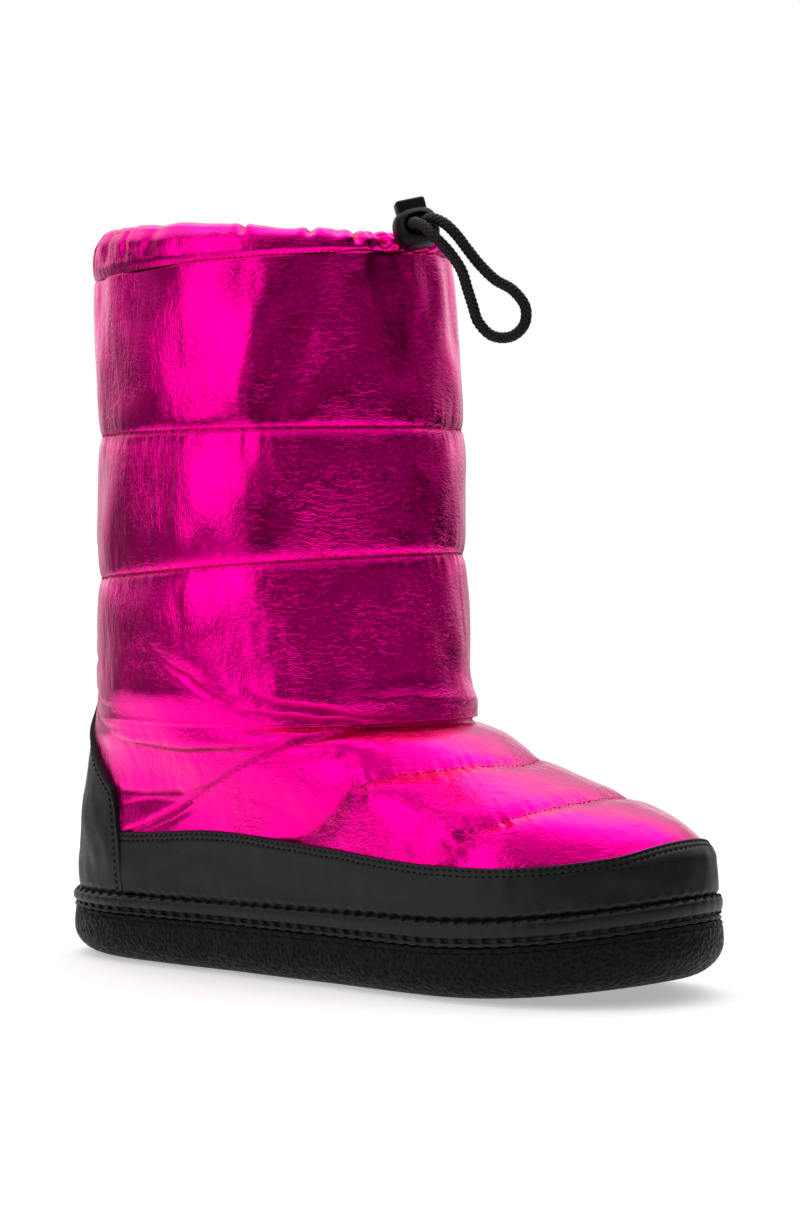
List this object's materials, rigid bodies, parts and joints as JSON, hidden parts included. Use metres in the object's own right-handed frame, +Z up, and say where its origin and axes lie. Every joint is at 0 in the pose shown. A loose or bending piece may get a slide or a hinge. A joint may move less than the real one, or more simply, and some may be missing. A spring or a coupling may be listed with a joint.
{
  "type": "snow boot",
  "caption": "Pull-on padded snow boot for the right foot: quilted shiny shell, smooth rand and heel counter, thick moulded sole, and a gathered collar with drawcord and push-button cord lock.",
  "frame": {"origin": "on the floor, midway along the sole and midway across the boot", "axes": "+X from heel to toe, +Y towards the inner side of the foot, +Z up"},
  "size_m": [0.28, 0.1246, 0.2863],
  "materials": {
    "sole_rubber": "pebbled matt foam rubber",
    "smooth_cover": "smooth, half-matt leather look",
    "foil_cloth": "shiny metallic foil with a fine crinkle",
    "plush": "short dark pile",
    "cord_braid": "round black braid",
    "lock_plastic": "satin moulded plastic"
  },
  "bodies": {
    "boot": {"outsole": "sole_rubber", "stitched_strip": "smooth_cover", "rand": "smooth_cover", "heel_counter": "smooth_cover", "upper": "foil_cloth", "collar_casing": "foil_cloth", "insole": "plush", "drawcord": "cord_braid", "cord_lock_body": "lock_plastic"},
    "button": {"cord_lock_button": "lock_plastic"}
  },
  "joints": [
    {"name": "button_press", "type": "slide", "parent": "boot", "child": "button", "axis": [0.2899, 0.0344, -0.9564], "range_m": [0, 0.003], "stiffness_N_per_m": 600, "springref_m": -0.002}
  ]
}
